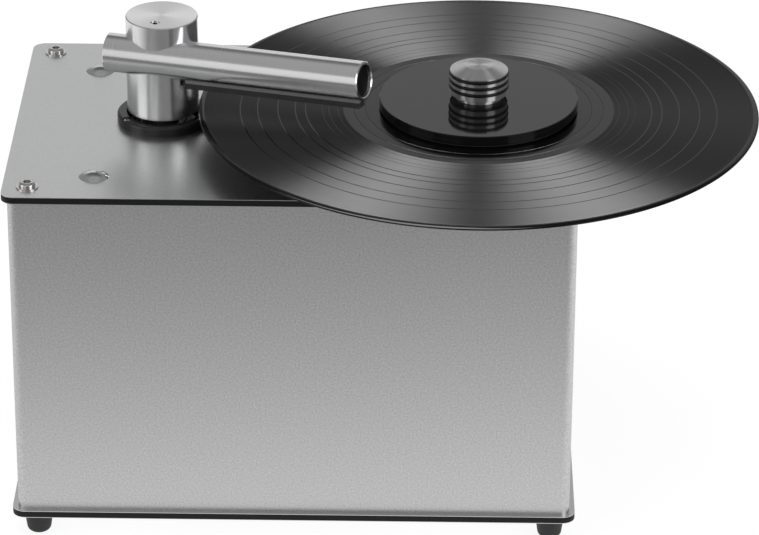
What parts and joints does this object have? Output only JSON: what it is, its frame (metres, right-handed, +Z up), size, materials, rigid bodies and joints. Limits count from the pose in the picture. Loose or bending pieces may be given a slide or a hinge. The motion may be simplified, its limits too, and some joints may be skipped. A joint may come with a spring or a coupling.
{
  "type": "record cleaning machine",
  "caption": "Boxy silver cabinet with a spring-raised suction arm on a polished column beside a driven platter that carries a clamped record, over a waste tank and a fan",
  "frame": {"origin": "under the middle of the whole machine, on the surface its feet stand on; Y = 0 is the spindle", "axes": "+X to the machine's right as seen from the front, +Y to its back, +Z up"},
  "size_m": [0.4006, 0.301, 0.2675],
  "materials": {
    "deck_skin": "satin, fine even grain",
    "panel_core": "black polyethylene",
    "cabinet_silver": "fine matt blasted silver",
    "turned_aluminium": "polished, turned",
    "black_anodised": "satin black",
    "stainless": "bright stainless",
    "zinc": "bright zinc plate",
    "black_rubber": "matt moulded",
    "vinyl": "pressed record vinyl",
    "clamp_black": "gloss black",
    "velvet": "short dark pile",
    "backing_grey": "light grey strip",
    "tank_plastic": "natural polyethylene",
    "gear_plastic": "natural acetal",
    "motor_steel": "zinc plated can",
    "housing_black": "moulded",
    "switch_black": "moulded, slight gloss",
    "pin_brass": "nickel plated brass",
    "hose_grey": "ribbed flexible hose",
    "spring_steel": "music wire",
    "cable_black": "sheathed cable",
    "post_aluminium": "turned bar"
  },
  "bodies": {
    "root": {"deck_core": "panel_core", "deck_skins": "deck_skin", "base_core": "panel_core", "base_skins": "deck_skin", "cabinet_wrap": "cabinet_silver", "rear_panel": "cabinet_silver", "rear_screws": "stainless", "corner_posts": "post_aluminium", "deck_screws": "stainless", "rubber_feet": "black_rubber", "foot_studs": "zinc", "dome_bolts": "zinc", "arm_flange": "black_anodised", "flange_screws": "stainless", "arm_guide": "post_aluminium", "lift_spring": "spring_steel", "gearbox_housing": "housing_black", "gearbox_cover": "post_aluminium", "gearbox_screws": "stainless", "spindle_motor_can": "motor_steel", "waste_tank": "tank_plastic", "tank_lid": "tank_plastic", "tank_seals": "black_rubber", "lid_screws": "stainless", "fan_motor_can": "motor_steel", "fan_housing": "housing_black", "fan_cover": "housing_black", "fan_posts": "post_aluminium", "exhaust_grille": "housing_black", "suction_hose": "hose_grey", "inlet_body": "housing_black", "inlet_pins": "pin_brass", "switch_housings": "housing_black", "wiring": "cable_black"},
    "lift_carriage": {"thrust_washer": "gear_plastic"},
    "arm": {"arm_column": "turned_aluminium", "arm_stem": "turned_aluminium", "stem_collar": "post_aluminium", "tube_set_screw": "stainless", "arm_tube": "turned_aluminium", "tube_end_plugs": "black_rubber", "strip_backings": "backing_grey", "velvet_strips": "velvet"},
    "platter": {"spindle": "stainless", "platter": "post_aluminium", "platter_mat": "black_rubber", "record": "vinyl", "output_gear": "gear_plastic"},
    "idler": {"idler_gear": "gear_plastic"},
    "rotor": {"spindle_motor_rotor": "spring_steel"},
    "clamp": {"clamp_disc": "clamp_black", "clamp_seal": "black_rubber"},
    "knob": {"clamp_knob": "turned_aluminium", "knob_o_rings": "black_rubber"},
    "fan": {"fan_armature": "spring_steel", "fan_impeller": "housing_black"},
    "vacuum_switch": {"vacuum_rocker": "switch_black"},
    "direction_switch": {"direction_rocker": "switch_black"},
    "fuse": {"fuse_drawer": "housing_black"},
    "drain": {"drain_cap": "black_rubber"}
  },
  "joints": [
    {"name": "arm_lift", "type": "slide", "parent": "root", "child": "lift_carriage", "axis": [0, 0, 1], "range_m": [-0.00995, 0], "stiffness_N_per_m": 400, "springref_m": 0.015, "deforming": ["lift_spring"]},
    {"name": "arm_swivel", "type": "hinge", "parent": "lift_carriage", "child": "arm", "pos_m": [-0.12084, 0.015, 0.2065], "axis": [0, 0, 1], "range_deg": [-60, 110]},
    {"name": "platter_spin", "type": "hinge", "parent": "root", "child": "platter", "pos_m": [0.0498, 0, 0.2065], "axis": [0, 0, 1], "continuous": true},
    {"name": "idler_spin", "type": "hinge", "parent": "root", "child": "idler", "pos_m": [0.0498, -0.024, 0.186], "axis": [0, 0, 1], "continuous": true},
    {"name": "motor_spin", "type": "hinge", "parent": "root", "child": "rotor", "pos_m": [0.0498, 0, 0.16], "axis": [0, 0, 1], "continuous": true},
    {"name": "clamp_rise", "type": "slide", "parent": "platter", "child": "clamp", "axis": [0, 0, 1], "range_m": [0, 0.008]},
    {"name": "knob_turn", "type": "hinge", "parent": "clamp", "child": "knob", "pos_m": [0.0498, 0, 0.2065], "axis": [0, 0, 1], "range_deg": [0, 2880]},
    {"name": "fan_spin", "type": "hinge", "parent": "root", "child": "fan", "pos_m": [-0.00634, 0.043, 0.0685], "axis": [0, 0, 1], "continuous": true},
    {"name": "vacuum_rocker_tip", "type": "hinge", "parent": "root", "child": "vacuum_switch", "pos_m": [-0.1957, -0.047, 0.1605], "axis": [0, 1, 0], "range_deg": [0, 20]},
    {"name": "direction_rocker_tip", "type": "hinge", "parent": "root", "child": "direction_switch", "pos_m": [-0.1957, -0.021, 0.1605], "axis": [0, 1, 0], "range_deg": [-10, 10]},
    {"name": "fuse_pull", "type": "slide", "parent": "root", "child": "fuse", "axis": [0, 1, 0], "range_m": [0, 0.014]},
    {"name": "drain_cap_pull", "type": "slide", "parent": "root", "child": "drain", "axis": [0, 1, 0], "range_m": [0, 0.012]}
  ],
  "couplings": [
    {"joint": "idler_spin", "follows": "platter_spin", "ratio": -3},
    {"joint": "motor_spin", "follows": "platter_spin", "ratio": 9},
    {"joint": "knob_turn", "follows": "clamp_rise", "rad_per_m": 6283.2}
  ]
}
